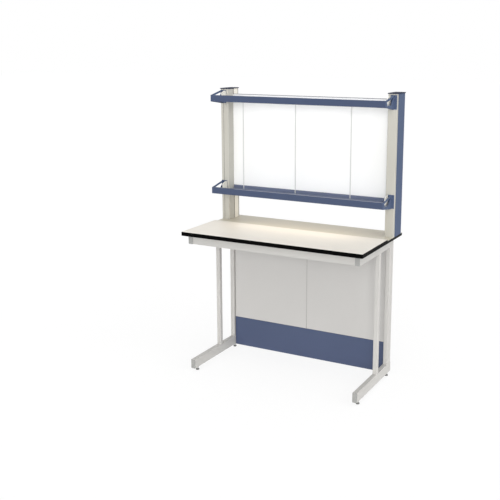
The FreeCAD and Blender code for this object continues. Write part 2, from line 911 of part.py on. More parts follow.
def make_bracket(label, side, bottom):
    """A side plate with a window, and the flange that is screwed to the post's face."""
    sheet_metal = "size.bracket_sheet"
    drop = "size.bracket_drop"
    height = "(size.front_rail_height + size.bracket_rise)"
    reach = f"(size.shelf_reach - {sheet_metal})"
    slope = f"({reach} - size.bracket_flat)"
    x = across(side, HALF_WIDTH, FLANGE_WIDTH)
    body = new_body(f"{label}_bracket", (x, SHELF_FRONT, f"{bottom} - {drop}"))
    plate_x = "size.flange_inboard" if side == RIGHT else "size.flange_outboard"
    plate = new_sketch(body, "plate", "YZ", plate_x)
    outline(
        plate,
        [
            ("0", drop),
            (slope, "0"),
            (reach, "0"),
            (reach, f"{drop} + {height}"),
            (slope, f"{drop} + {height}"),
            ("0", f"{drop} + size.front_rail_height"),
        ],
    )
    pad(body, plate, sheet_metal)
    rise = f"size.bracket_rise / {slope}"
    head = f"({slope} - size.window_head_margin + size.bracket_flat)"
    base_line = f"({drop} + size.front_rail_height - size.window_strip)"
    window = new_sketch(body, "window", "YZ", plate_x)
    outline(
        window,
        [
            ("size.window_front", f"{drop} + size.window_sill"),
            (f"{reach} - size.window_foot_margin", f"{drop} + size.window_sill"),
            (head, f"{base_line} + size.bracket_rise"),
            (slope, f"{base_line} + size.bracket_rise"),
            ("size.window_front", f"{base_line} + size.window_front * {rise}"),
        ],
    )
    pocket(body, window, sheet_metal)
    flange = new_sketch(body, "flange", "XZ", f"-{reach}")
    rectangle(flange, "0", "0", FLANGE_WIDTH, f"{drop} + {height}")
    pad(body, flange, sheet_metal, backwards=True)
    centres = [(bracket_screw_x(side), f"{drop} + {z}") for z in bracket_screw_rows()]
    holes(
        body,
        "screw_holes",
        "XZ",
        centres,
        "size.bracket_screw_diameter",
        sheet_metal,
        f"-{reach}",
    )


def make_cheek(label, side, bottom):
    """A white moulded gusset between the bracket's flange and the tray floor."""
    wide = "size.cheek_thickness"
    flange_edge = f"({HALF_WIDTH} - {FLANGE_WIDTH})"
    x = flange_edge if side == RIGHT else f"-{flange_edge} - {wide}"
    start = f"{FLANGE_FRONT} - size.cheek_depth"
    body = new_body(f"{label}_cheek", (x, start, f"{bottom} + size.tray_lift"))
    sketch = new_sketch(body, "gusset", "YZ")
    outline(
        sketch,
        [
            ("0", "0"),
            ("size.cheek_depth", "0"),
            ("size.cheek_depth", "size.cheek_height"),
            ("size.cheek_slope_depth", "size.cheek_height"),
            ("0", "size.cheek_height - size.cheek_slope_height"),
        ],
    )
    pad(body, sketch, wide)
    return body


def make_back_panel():
    """The white sheet between the shelves; its ends stand in the slots of the posts."""
    tongue = "(size.post_wall + size.back_panel_tongue)"
    bottom = f"({LOWER_SHELF} + size.rear_rail_height)"
    top = f"({UPPER_SHELF} + size.front_rail_height - size.back_panel_drop)"
    gap = "((size.post_slot - size.back_panel_thickness) / 2)"
    panel = bar(
        "back_panel",
        "Y",
        f"2 * ({POST_INNER} + {tongue})",
        f"{top} - {bottom}",
        "size.back_panel_thickness",
        (f"-{POST_INNER} - {tongue}", f"{SLOT_FRONT} + {gap}", bottom),
    )
    return panel


def make_tie_rods():
    length = "(size.shelf_pitch + size.tray_lift + size.nut_height)"
    for label, x in TIE_RODS.items():
        at = (x, f"{SHELF_FRONT} + size.rod_setback", LOWER_SHELF)
        rod = new_body(label, at)
        sketch = new_sketch(rod, "section", "XY")
        circles(sketch, [("0", "0")], "size.rod_diameter")
        pad(rod, sketch, length)


# Loose fasteners: one group of equal solids for each kind
FACING = {
    "up": FreeCAD.Rotation(),
    "down": FreeCAD.Rotation(FreeCAD.Vector(1, 0, 0), 180),
    "front": FreeCAD.Rotation(FreeCAD.Vector(1, 0, 0), 90),
    "back": FreeCAD.Rotation(FreeCAD.Vector(1, 0, 0), -90),
}


def screws(label, places, facing, shank, length, head, head_height):
    """Round-headed screws whose shanks start at these places and run the way they face."""
    made = []
    for index, at in enumerate(places, start=1):
        body = new_body(f"{label}_{index}", at)
        body.Placement = FreeCAD.Placement(FreeCAD.Vector(), FACING[facing])
        turned(
            body,
            [
                ("0", f"-{head_height}"),
                (f"{head} / 3", f"-{head_height}"),
                (f"{head} / 2", f"-{head_height} / 2"),
                (f"{head} / 2", "0"),
                (f"{shank} / 2", "0"),
                (f"{shank} / 2", length),
                ("0", length),
            ],
        )
        made.append(body)
    group(label, made)


def make_fasteners():
    sides = (LEFT, RIGHT)
    screws(
        "worktop_screws",
        [(f"{side}{LEG_CENTRE}", f"{FRONT} + {y}", ARM_BOTTOM) for side in sides for y in screw_rows()],
        "up",
        "size.screw_diameter",
        "size.arm_height + size.screw_bite",
        "size.screw_head_diameter",
        "size.screw_head_height",
    )
    seat = f"({LEDGE_TOP} + size.base_thickness)"
    screws(
        "post_bolts",
        [(f"{side}{LEG_CENTRE}", y, seat) for side in sides for y in bolt_rows(COLUMN_FRONT)],
        "down",
        "size.bolt_diameter",
        f"{seat} - {UNDERSIDE} + size.head_plate_thickness",
        "size.bolt_head_diameter",
        "size.bolt_head_height",
    )
    heights = [
        f"{KICK_TOP} - size.cross_rail_height / 4",
        f"{KICK_TOP} + size.cross_rail_height / 4",
        f"{UNDERSIDE} - size.cross_rail_height / 2",
    ]
    screws(
        "panel_screws",
        [
            (f"{x} - {LEG_INNER}", f"{RAIL_FRONT} + size.cross_rail_depth", z)
            for x in panel_screw_columns()
            for z in heights
        ],
        "front",
        "size.panel_screw_diameter",
        "size.cross_rail_depth + size.screw_bite",
        "size.panel_screw_head",
        "size.screw_head_height",
    )
    inward = f"({HALF_WIDTH} - {FLANGE_WIDTH} + {bracket_screw_x(RIGHT)})"
    screws(
        "bracket_screws",
        [
            (f"{side}{inward}", FLANGE_FRONT, f"{bottom} + {z}")
            for bottom in SHELVES.values()
            for side in sides
            for z in bracket_screw_rows()
        ],
        "back",
        "size.bracket_screw_diameter",
        "size.bracket_screw_length",
        "size.bracket_screw_head",
        "size.screw_head_height",
    )
    make_nuts()


def make_nuts():
    """A nut under the lower tray floor and one on the upper tray floor, for each tie rod."""
    heights = {
        "lower": f"{LOWER_SHELF} + size.tray_lift - size.tray_sheet - size.nut_height",
        "upper": f"{UPPER_SHELF} + size.tray_lift",
    }
    made = []
    for rod, x in TIE_RODS.items():
        for level, z in heights.items():
            at = (x, f"{SHELF_FRONT} + size.rod_setback", z)
            nut = new_body(f"{rod}_{level}_nut", at)
            sketch = new_sketch(nut, "section", "XY")
            hexagon(sketch, "size.nut_flats")
            circles(sketch, [("0", "0")], "size.rod_diameter")
            pad(nut, sketch, "size.nut_height")
            made.append(nut)
    group("tie_rod_nuts", made)


# Levelling feet
def make_feet():
    inserts = []
    for name, side in SIDES.items():
        for position, y in zip(("front", "rear"), foot_rows()):
            label = f"{position}_{name}"
            x = f"{side}{LEG_CENTRE}"
            inserts.append(make_insert(f"{label}_insert", x, y))
            make_spindle(f"{label}_spindle", x, y)
            make_foot_pad(f"{label}_pad", x, y)
    group("foot_inserts", inserts)


def make_insert(label, x, y):
    """A threaded insert in the bottom wall of the foot beam."""
    flange = "size.insert_flange_thickness"
    body = new_body(label, (x, y, f"size.foot_rise - {flange}"))
    sketch = new_sketch(body, "flange", "XY")
    circles(sketch, [("0", "0")], "size.insert_flange")
    pad(body, sketch, flange)
    barrel = new_sketch(body, "barrel", "XY")
    circles(barrel, [("0", "0")], "size.insert_diameter")
    pad(body, barrel, f"{flange} + size.insert_length")
    bore = "size.spindle_diameter + 2 * size.spindle_gap"
    holes(body, "thread", "XY", [("0", "0")], bore, f"{flange} + size.insert_length")
    return body


def make_spindle(label, x, y):
    """A threaded shank whose collar stops just under the insert when it is screwed right in."""
    body = new_body(label, (x, y, "size.pad_height - size.pad_socket"))
    sketch = new_sketch(body, "shank", "XY")
    circles(sketch, [("0", "0")], "size.spindle_diameter")
    pad(body, sketch, "size.spindle_length")
    collar = new_sketch(body, "collar", "XY", "size.pad_socket")
    hexagon(collar, "size.collar_flats")
    stop = "size.foot_rise - size.insert_flange_thickness - size.collar_stop_gap"
    pad(body, collar, f"{stop} - size.pad_height")


def hexagon(sketch, flats):
    """Six equal sides round the origin, held by the distance across the flats."""
    corners = [
        FreeCAD.Vector(math.cos(turn), math.sin(turn), 0) * ROUGH
        for turn in (math.radians(60 * index) for index in range(6))
    ]
    for index in range(6):
        sketch.addGeometry(Part.LineSegment(corners[index], corners[(index + 1) % 6]), False)
    ring = Part.Circle(FreeCAD.Vector(0, 0, 0), FreeCAD.Vector(0, 0, 1), ROUGH)
    circle = sketch.addGeometry(ring, True)
    for index in range(6):
        following = (index + 1) % 6
        sketch.addConstraint(Sketcher.Constraint("Coincident", index, 2, following, 1))
        sketch.addConstraint(Sketcher.Constraint("PointOnObject", index, 1, circle))
    for index in range(1, 6):
        sketch.addConstraint(Sketcher.Constraint("Equal", 0, index))
    sketch.addConstraint(Sketcher.Constraint("Coincident", circle, 3, -1, 1))
    sketch.addConstraint(Sketcher.Constraint("PointOnObject", 0, 1, -1))
    across_corners = sketch.addConstraint(Sketcher.Constraint("Diameter", circle, 2 * ROUGH))
    sketch.setExpression(f"Constraints[{across_corners}]", f"2 * {flats} / sqrt(3)")


def make_foot_pad(label, x, y):
    """A moulded pad: a wide disc that narrows to a shoulder, with a socket for the spindle."""
    body = new_body(label, (x, y, "0"))
    turned(
        body,
        [
            ("0", "0"),
            ("size.pad_diameter / 2", "0"),
            ("size.pad_diameter / 2", "size.pad_height / 3"),
            ("size.pad_top_diameter / 2", "size.pad_height"),
            ("0", "size.pad_height"),
        ],
    )
    bore = "size.spindle_diameter + 2 * size.spindle_gap"
    holes(body, "socket", "XY", [("0", "0")], bore, "size.pad_socket", "size.pad_height")


def check_and_write():
    doc.recompute()
    for item in doc.Objects:
        if "Invalid" in item.State or "Error" in item.State:
            raise RuntimeError(f"{item.Label} failed: {item.State}")
    for node in NODES:
        if node.Shape.isNull() or not node.Shape.isValid() or not node.Shape.Solids:
            raise RuntimeError(f"{node.Label} has no sound solid")
    os.makedirs("parts", exist_ok=True)
    for node in NODES:
        node.Shape.exportStep(f"parts/{node.Label}.step")
    print(f"{len(NODES)} nodes written")


make_worktop()
make_ledge()
for name, side in SIDES.items():
    make_leg_frame(name, side)
make_end_caps()
make_rails()
make_panels()
for name, side in SIDES.items():
    make_post(name, side)
for level, bottom in SHELVES.items():
    make_shelf(level, bottom)
cheeks = [
    make_cheek(f"{level}_{name}", side, bottom)
    for level, bottom in SHELVES.items()
    for name, side in SIDES.items()
]
group("bracket_cheeks", cheeks)
make_back_panel()
make_tie_rods()
make_fasteners()
make_feet()
check_and_write()
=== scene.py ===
import json
import math

import bmesh
import bpy
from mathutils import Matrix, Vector


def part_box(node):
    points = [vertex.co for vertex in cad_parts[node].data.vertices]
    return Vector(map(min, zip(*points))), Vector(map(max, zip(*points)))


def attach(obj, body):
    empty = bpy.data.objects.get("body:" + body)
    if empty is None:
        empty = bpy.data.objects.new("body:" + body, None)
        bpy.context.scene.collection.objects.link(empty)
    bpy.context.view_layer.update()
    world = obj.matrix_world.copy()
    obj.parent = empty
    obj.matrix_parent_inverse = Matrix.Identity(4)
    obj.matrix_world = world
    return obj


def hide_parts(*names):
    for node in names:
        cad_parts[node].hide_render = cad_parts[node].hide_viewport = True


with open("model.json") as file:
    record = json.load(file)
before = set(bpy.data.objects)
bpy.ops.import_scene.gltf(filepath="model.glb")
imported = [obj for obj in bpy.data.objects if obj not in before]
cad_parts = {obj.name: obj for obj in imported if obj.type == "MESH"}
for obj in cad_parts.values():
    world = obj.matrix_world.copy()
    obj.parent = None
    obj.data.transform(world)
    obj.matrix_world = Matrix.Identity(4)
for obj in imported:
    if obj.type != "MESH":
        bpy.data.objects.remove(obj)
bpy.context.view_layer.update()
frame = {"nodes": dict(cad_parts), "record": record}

bpy.ops.object.select_all(action="DESELECT")

mm = 0.001
sideSigns = {"left": -1, "right": 1}


def toLinear(hexColour):
    parts = [int(hexColour[place:place + 2], 16) / 255 for place in (1, 3, 5)]
    return [part / 12.92 if part <= 0.04045 else ((part + 0.055) / 1.055) ** 2.4 for part in parts] + [1]


def addNode(tree, kind, values=None, **settings):
    # values: a socket's name or number, with a plain value or the output that feeds it
    node = tree.nodes.new(kind)
    for name, value in settings.items():
        setattr(node, name, value)
    for socket, value in (values or {}).items():
        if isinstance(value, bpy.types.NodeSocket):
            tree.links.new(value, node.inputs[socket])
        else:
            node.inputs[socket].default_value = value
    return node


def startFinish(name, fixed):
    # fixed: what is the same all over, set on the shader itself
    material = bpy.data.materials.new(name)
    material.use_nodes = True
    tree = material.node_tree
    tree.nodes.clear()
    shader = addNode(tree, "ShaderNodeBsdfPrincipled", fixed)
    addNode(tree, "ShaderNodeOutputMaterial", {"Surface": shader.outputs[0]})
    place = addNode(tree, "ShaderNodeTexCoord").outputs["Object"]
    return material, tree, shader, place


def layBand(tree, place, colour, band):
    # another colour between two places on an axis, in millimetres; mirrored takes both halves of the bench
    along = addNode(tree, "ShaderNodeSeparateXYZ", {"Vector": place}).outputs[band["axis"]]
    if band.get("mirrored"):
        along = addNode(tree, "ShaderNodeMath", {0: along}, operation="ABSOLUTE").outputs[0]
    start, end = band["span"]
    within = addNode(tree, "ShaderNodeMath",
                     {0: along, 1: (start + end) / 2 * mm, 2: (end - start) / 2 * mm}, operation="COMPARE")
    return addNode(tree, "ShaderNodeMix", {0: within.outputs[0], 6: colour, 7: toLinear(band["colour"])},
                   data_type="RGBA").outputs[2]


cloudPatch = 180  # millimetres across, where a look names no patch of its own
grainSpan = (0.3, 0.7)  # the textures seldom leave this span


def dressSurface(tree, shader, place, look, grain, relief):
    # cloudy colour in patches, the look's bands, and one fine grain for the gloss and the relief
    patch = look.get("patch", cloudPatch)
    clouds = addNode(tree, "ShaderNodeTexNoise", {"Vector": place, "Scale": 1 / (patch * mm), "Detail": 2.0})
    colour = addNode(tree, "ShaderNodeMix",
                     {0: clouds.outputs[0], 6: toLinear(look["low"]), 7: toLinear(look["high"])},
                     data_type="RGBA").outputs[2]
    for band in look.get("bands", ()):
        colour = layBand(tree, place, colour, band)
    tree.links.new(colour, shader.inputs["Base Color"])
    (least, most), (dull, dullest) = grainSpan, look["rough"]
    gloss = addNode(tree, "ShaderNodeMapRange", {
        "Value": grain, "From Min": least, "From Max": most, "To Min": dull, "To Max": dullest})
    tree.links.new(gloss.outputs[0], shader.inputs["Roughness"])
    bump = addNode(tree, "ShaderNodeBump", {
        "Height": grain, "Distance": relief["height"] * mm, "Strength": relief["strength"]})
    tree.links.new(bump.outputs[0], shader.inputs["Normal"])


# the slot between a post's two channels lies in shadow, and so do the turned-in rear edge and the groove
# down the left post
slotShadow = [{"axis": "Y", "span": (225.0, 226.3), "colour": "#7d746a"},
              {"axis": "Y", "span": (230.7, 232.0), "colour": "#7d746a"}]
rearShadow = {"axis": "Y", "span": (283.5, 291.8), "colour": "#403a32"}
grooveShadow = {"axis": "X", "span": (-582.1, -579.9), "colour": "#64605a"}

powderCoats = {
    # polyester powder, sprayed and baked: even, semi-matt, faint orange peel
    "grey_frame_paint": {"name": "greyPowderCoat", "low": "#c2c0bc", "high": "#c9c7c3",
                         "rough": (0.42, 0.52)},
    # the posts' front channels in the same powder, a little warmer
    "grey_post_paint": {"name": "warmGreyPowderCoat", "low": "#b9b6ac", "high": "#bfbdb4",
                        "rough": (0.44, 0.54), "bands": slotShadow + [grooveShadow]},
    # the rear channels in a paler cream
    "cream_post_paint": {"name": "creamPowderCoat", "low": "#eee9dc", "high": "#f3efe4",
                         "rough": (0.44, 0.54), "bands": slotShadow + [rearShadow]},
    # slate blue powder, smoother: it hardly shines face on, and turns pale on the level faces seen along
    "blue_paint": {"name": "slateBluePowderCoat", "low": "#374461", "high": "#3d4a67",
                   "rough": (0.48, 0.58), "gloss": 0.1, "shine": 0.8},
    # trays and the rails behind them: a lighter, greyer copy of the same blue, painted light for the light
    # inside the shelves
    "inside": {"name": "slateBluePaintedLight", "low": "#687087", "high": "#6f778e",
               "rough": (0.44, 0.54), "gloss": 0.2, "shine": 1.0},
    # the posts' side covers and the shelf brackets: a lighter copy of the same blue, painted light, flatter,
    # with little shine
    "cover": {"name": "mattSlatePaintedLight", "low": "#4e5b76", "high": "#54617c",
              "rough": (0.54, 0.62), "gloss": 0.1},
    # the posts' caps: darkest, and nearly without shine
    "cap": {"name": "darkSlatePowderCoat", "low": "#2b3042", "high": "#32374a",
            "rough": (0.56, 0.64), "gloss": 0.04},
}
peel = {"patch": 6, "height": 0.03, "strength": 0.35}  # real peel is 1 to 2 mm, drawn at 6 mm to show


def makePowderCoat(look):
    material, tree, shader, place = startFinish(look["name"], {
        "IOR": 1.5, "Metallic": 0.0, "Specular IOR Level": look.get("gloss", 0.5),
        "Coat Weight": look.get("shine", 0.0), "Coat Roughness": 0.3, "Coat IOR": 1.5})
    grain = addNode(tree, "ShaderNodeTexNoise", {
        "Vector": place, "Scale": 1 / (peel["patch"] * mm), "Detail": 2.0})
    dressSurface(tree, shader, place, look, grain.outputs[0], peel)
    return material


# the cut ends of the panels are raw board, drawn darker with painted shade, at the seam and where they stop
# short of the columns; there a strip of the face beside the end is painted shade too
boards = {
    # melamine paper pressed on chipboard: flat colour, fine pearl texture
    "grey_board": {"name": "greyMelamine", "low": "#c7c5c2", "high": "#cbc9c6", "rough": (0.46, 0.58),
                   "patch": 300,
                   "bands": [{"axis": "X", "span": (-0.6, 0.6), "colour": "#3a3632"},
                             {"axis": "X", "span": (538.7, 540.6), "mirrored": True, "colour": "#4a4642"}]},
    # the same board with slate blue paper
    "blue_board": {"name": "slateBlueMelamine", "low": "#47526e", "high": "#4c5774", "rough": (0.5, 0.6),
                   "patch": 300,
                   "bands": [{"axis": "X", "span": (538.7, 540.6), "mirrored": True, "colour": "#262a36"}]},
}
pearl = {"patch": 4, "height": 0.03, "strength": 0.3}  # real pearl is under 1 mm, drawn at 4 mm


def makeBoard(look):
    material, tree, shader, place = startFinish(look["name"], {"IOR": 1.48, "Metallic": 0.0})
    cells = addNode(tree, "ShaderNodeTexVoronoi", {"Vector": place, "Scale": 1 / (pearl["patch"] * mm)})
    dressSurface(tree, shader, place, look, cells.outputs[0], pearl)
    return material


laminates = {
    # high-pressure laminate on board, with a black edge band: the melamine overlay gives the top
    # its satin sheen, and the rim has none and stays dead black
    "worktop_laminate": {"name": "creamLaminate", "low": "#e9e4da", "high": "#eee9df", "rough": (0.5, 0.6),
                         "patch": 240, "sheet": 924.6,
                         "bands": [{"axis": "Z", "span": (890, 924.6), "colour": "#020202"}]},
    # the ledge behind it, greyer, its edge not quite as black
    "ledge_laminate": {"name": "greigeLaminate", "low": "#cac5b5", "high": "#d1ccbd", "rough": (0.5, 0.6),
                       "patch": 240, "sheet": 916.4,
                       "bands": [{"axis": "Z", "span": (890, 916.4), "colour": "#1c1c1b"}]},
}
satin = {"patch": 5, "height": 0.02, "strength": 0.25}  # the pressed grain is 0.5 mm, drawn at 5 mm
overlayWeight = 0.7  # the coat stands for the overlay, on the top face only


def makeLaminate(look):
    material, tree, shader, place = startFinish(look["name"], {
        "IOR": 1.49, "Metallic": 0.0, "Specular IOR Level": 0.04, "Coat Roughness": 0.36, "Coat IOR": 1.49})
    height = addNode(tree, "ShaderNodeSeparateXYZ", {"Vector": place}).outputs["Z"]
    onTop = addNode(tree, "ShaderNodeMath", {0: height, 1: look["sheet"] * mm}, operation="GREATER_THAN")
    overlay = addNode(tree, "ShaderNodeMath", {0: onTop.outputs[0], 1: overlayWeight}, operation="MULTIPLY")
    tree.links.new(overlay.outputs[0], shader.inputs["Coat Weight"])
    grain = addNode(tree, "ShaderNodeTexNoise", {
        "Vector": place, "Scale": 1 / (satin["patch"] * mm), "Detail": 3.0})
    dressSurface(tree, shader, place, look, grain.outputs[0], satin)
    return material


plastics = {
    # injection-moulded plugs and feet: spark-eroded mould skin, soft dull sheen
    "grey_cap_plastic": {"name": "greyMouldedPlastic", "low": "#9c9c9a", "high": "#a4a4a1",
                         "rough": (0.5, 0.62), "patch": 60},
    # the cheeks are white, and a band of painted shade greys their outer faces
    "white_plastic": {"name": "whiteMouldedPlastic", "low": "#fbf8ec", "high": "#fefbf1",
                      "rough": (0.4, 0.5), "patch": 60,
                      "bands": [{"axis": "X", "span": (559.2, 560.4), "mirrored": True,
                                 "colour": "#dedbd0"}]},
    # the feet's nylon: duller and a little mottled
    "dark_plastic": {"name": "greyNylonFoot", "low": "#6e6e6d", "high": "#787877", "rough": (0.5, 0.64),
                     "patch": 20},
    # smooth white sheet: almost no texture, slight gloss
    "white_sheet": {"name": "whiteSmoothSheet", "low": "#f5f5f3", "high": "#f7f7f5", "rough": (0.3, 0.36)},
    # thin extruded strip on the sheet's top edge
    "trim": {"name": "greyExtrudedStrip", "low": "#7c7c82", "high": "#84848a", "rough": (0.4, 0.5)},
}
mouldSkin = {"patch": 3, "height": 0.02, "strength": 0.3}  # the grain is 0.1 mm, drawn at 3 mm


def makePlastic(look):
    material, tree, shader, place = startFinish(look["name"], {"IOR": 1.46, "Metallic": 0.0})
    grain = addNode(tree, "ShaderNodeTexNoise", {
        "Vector": place, "Scale": 1 / (mouldSkin["patch"] * mm), "Detail": 4.0})
    dressSurface(tree, shader, place, look, grain.outputs[0], mouldSkin)
    return material


metals = {
    # barrel-plated zinc: cool bright grey with cloudy spots
    "zinc_steel": {"name": "zincPlatedSteel", "low": "#bfc0bf", "high": "#d3d3d0", "rough": (0.28, 0.42),
                   "stretch": (1, 1, 1), "patch": 4},
    # drawn bright steel rod: the die leaves fine lines along its length
    "bright_steel": {"name": "drawnBrightSteel", "low": "#d2d2d1", "high": "#dededc", "rough": (0.3, 0.42),
                     "stretch": (1, 1, 0.02), "patch": 0.8},
}
metalSkin = {"height": 0.01, "strength": 0.2}  # nearly smooth


def makeMetal(look):
    material, tree, shader, place = startFinish(look["name"], {"Metallic": 1.0})
    lines = addNode(tree, "ShaderNodeMapping", {"Vector": place, "Scale": look["stretch"]}).outputs[0]
    grain = addNode(tree, "ShaderNodeTexNoise", {
        "Vector": lines, "Scale": 1 / (look["patch"] * mm), "Detail": 3.0})
    dressSurface(tree, shader, lines, look, grain.outputs[0], metalSkin)
    return material


finishes = {}
for maker, looks in ((makePowderCoat, powderCoats), (makeBoard, boards), (makeLaminate, laminates),
                     (makePlastic, plastics), (makeMetal, metals)):
    for slotName, look in looks.items():
        finishes[slotName] = maker(look)

# copies of the blue slot's paint: lighter on the trays, rear rails, covers and brackets, as painted light,
# and darker on the caps
blueVariants = {"post_cap": "cap", "post_cover": "cover", "bracket": "cover", "tray": "inside",
                "shelf_rear_rail": "inside"}


def ownFinish(nodeName):
    return next((finish for ending, finish in blueVariants.items() if nodeName.endswith(ending)), None)


for part in frame["record"]["subparts"]:
    node = frame["nodes"][part["node"]]
    if not node.material_slots:
        node.data.materials.append(None)
    for holder in node.material_slots:
        holder.material = finishes[ownFinish(part["node"]) or part["material_slot"]]
print("materials on the frame:", len(finishes))


def pickFaces(test):
    # selects the faces in edit mode whose normal passes the test
    mesh = bmesh.from_edit_mesh(bpy.context.edit_object.data)
    for face in mesh.faces:
        face.select_set(False)
    for face in mesh.faces:
        if test(face.normal):
            face.select_set(True)
    bmesh.update_edit_mesh(bpy.context.edit_object.data)


def pickEdges(test):
    # selects the edges in edit mode whose two ends pass the test
    mesh = bmesh.from_edit_mesh(bpy.context.edit_object.data)
    for edge in mesh.edges:
        edge.select_set(False)
    for edge in mesh.edges:
        if test(edge.verts[0].co, edge.verts[1].co):
            edge.select_set(True)
    bmesh.update_edit_mesh(bpy.context.edit_object.data)


def onlySelect(*pieces):
    bpy.ops.object.select_all(action="DESELECT")
    for piece in pieces:
        piece.select_set(True)
    bpy.context.view_layer.objects.active = pieces[0]


def turnOnLathe(name, profile, sides=48):
    # profile: radius and height in millimetres, from the bottom up, then inwards
    radius, height = profile[0]
    bpy.ops.mesh.primitive_circle_add(vertices=sides, radius=radius * mm, location=(0, 0, height * mm),
                                      fill_type="NGON")
    piece = bpy.context.object
    piece.name = name
    bpy.ops.object.transform_apply(location=True, rotation=True, scale=True)
    bpy.ops.object.mode_set(mode="EDIT")
    bpy.ops.mesh.select_all(action="SELECT")
    for nextRadius, nextHeight in profile[1:]:
        rise = (nextHeight - height) * mm
        bpy.ops.mesh.extrude_region_move(TRANSFORM_OT_translate={"value": (0, 0, rise)})
        size = nextRadius / radius
        bpy.ops.transform.resize(value=(size, size, 1), center_override=(0, 0, nextHeight * mm))
        radius, height = nextRadius, nextHeight
    bpy.ops.mesh.select_all(action="SELECT")
    bpy.ops.mesh.normals_make_consistent(inside=False)
    bpy.ops.object.mode_set(mode="OBJECT")
    return piece


def cutWith(piece, tool, how="DIFFERENCE"):
    change = piece.modifiers.new("cut", "BOOLEAN")
    change.operation = how
    change.solver = "EXACT"
    change.object = tool
    onlySelect(piece)
    bpy.ops.object.modifier_apply(modifier=change.name)
    bpy.data.objects.remove(tool)


def placeCopies(model, name, spots, turned=(0, 0, 0)):
    # one copy of the model at each spot, each with its own mesh, then joined
    copies = []
    for spot in spots:
        onlySelect(model)
        bpy.ops.object.duplicate()
        copy = bpy.context.object
        copy.rotation_euler = turned
        copy.location = spot
        bpy.ops.object.transform_apply(location=True, rotation=True, scale=True)
        copies.append(copy)
    bpy.data.objects.remove(model)
    onlySelect(*copies)
    if len(copies) > 1:
        bpy.ops.object.join()
    group = bpy.context.object
    group.name = name
    return group


def finishPiece(piece, slotName, body, smooth=35, look=None):
    onlySelect(piece)
    bpy.ops.object.shade_smooth_by_angle(angle=math.radians(smooth))
    piece.data.materials.clear()
    piece.data.materials.append(finishes[look or slotName])
    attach(piece, body)
    bpy.ops.object.select_all(action="DESELECT")


bracketScrew = {"head": 11, "rise": 3, "shank": 6, "socket": 4, "socketDepth": 1.8}
worktopScrew = {"head": 10, "rise": 3, "shank": 5, "socket": 3.4, "socketDepth": 1.8}
panelScrew = {"head": 8, "rise": 3, "shank": 4, "socket": 0, "cross": (4.4, 1.1), "socketDepth": 1.7,
              "fromSeam": 60, "seamRise": 20}
# shares of the shank's radius (tip), the head's radius (flat, crown) and its rise (rim); the taper is in
# millimetres, and the dome is drawn in steps of so many degrees
screwShape = {"tip": 0.35, "taper": 2, "rim": 0.3, "flat": 0.42, "crown": 0.45, "steps": 5, "stepAngle": 15}
cutMargin = 0.5  # how far a socket's tool stands out of the head


def cornerOf(flats):
    # a hexagon's corner radius from its size over the flats
    return flats / 2 / math.cos(math.pi / 6)


def makeScrew(name, size, length):
    # button head upwards, its underside at height 0
    head, shank = size["head"] / 2, size["shank"] / 2
    rise, rim, crown = size["rise"], screwShape["rim"], screwShape["crown"]
    profile = [(shank * screwShape["tip"], -length), (shank, -length + screwShape["taper"]), (shank, 0),
               (head, 0), (head, rise * rim)]
    for step in range(1, screwShape["steps"] + 1):
        angle = math.radians(step * screwShape["stepAngle"])
        profile.append((head * (crown + (1 - crown) * math.cos(angle)),
                        rise * (rim + (1 - rim) * math.sin(angle))))
    profile.append((head * screwShape["flat"], rise))
    screw = turnOnLathe(name, profile, sides=36)
    depth = (size["socketDepth"] + 2 * cutMargin) * mm
    middle = (0, 0, (rise + cutMargin - size["socketDepth"] / 2) * mm)
    if size["socket"]:
        bpy.ops.mesh.primitive_cylinder_add(vertices=6, radius=cornerOf(size["socket"]) * mm,
                                            depth=depth, location=middle)
        cutWith(screw, bpy.context.object)
    else:
        for arm in size["cross"], size["cross"][::-1]:
            bpy.ops.mesh.primitive_cube_add(size=1, location=middle, scale=(arm[0] * mm, arm[1] * mm, depth))
            cutWith(screw, bpy.context.object)
    return screw


low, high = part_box("bracket_screws")
reach = (high.y - low.y) / mm - bracketScrew["rise"]
margin = bracketScrew["head"] / 2 * mm
lowest, highest = low.z + margin, high.z - margin
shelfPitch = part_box("upper_shelf_front_rail")[0].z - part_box("lower_shelf_front_rail")[0].z
spacing = highest - lowest - shelfPitch
spots = [(sign * (high.x - margin), low.y + bracketScrew["rise"] * mm, base + step)
         for sign in sideSigns.values() for base in (lowest, lowest + shelfPitch) for step in (0, spacing)]
bracketScrews = placeCopies(makeScrew("bracketScrew", bracketScrew, reach), "bracketScrews", spots,
                            (math.pi / 2, 0, 0))
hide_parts("bracket_screws")
# the screws take the brackets' lighter copy of the blue, which is painted light
finishPiece(bracketScrews, "blue_paint", "root", look="cover")  # coated with the brackets

low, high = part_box("worktop_screws")
reach = (high.z - low.z) / mm - worktopScrew["rise"]
margin = worktopScrew["head"] / 2 * mm
first, last = low.y + margin, high.y - margin
spots = [(sign * (high.x - margin), first + (last - first) * share, low.z + worktopScrew["rise"] * mm)
         for sign in sideSigns.values() for share in (0, 0.5, 1)]
worktopScrews = placeCopies(makeScrew("worktopScrew", worktopScrew, reach), "worktopScrews", spots,
                            (math.pi, 0, 0))
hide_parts("worktop_screws")
finishPiece(worktopScrews, "zinc_steel", "root")

low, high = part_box("panel_screws")
reach = (high.y - low.y) / mm - panelScrew["rise"]
margin = panelScrew["head"] / 2 * mm
acrossPlaces = (panelScrew["fromSeam"] * mm, high.x - margin)
screwHeights = (low.z + margin, low.z + margin + panelScrew["seamRise"] * mm, high.z - margin)
spots = [(sign * across, high.y - panelScrew["rise"] * mm, height)
         for sign in sideSigns.values() for across in acrossPlaces for height in screwHeights]
panelScrews = placeCopies(makeScrew("panelScrew", panelScrew, reach), "panelScrews", spots,
                          (-math.pi / 2, 0, 0))
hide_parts("panel_screws")
finishPiece(panelScrews, "zinc_steel", "root")
print("screws placed")


tieRodNut = {"flats": 10, "height": 5, "bore": 6.1, "chamfer": 0.7}
# the share of the flats that stays flat, and how far the tool stands out at the corners and ends
chamferTool = {"face": 0.97, "past": 0.1, "over": 0.01}


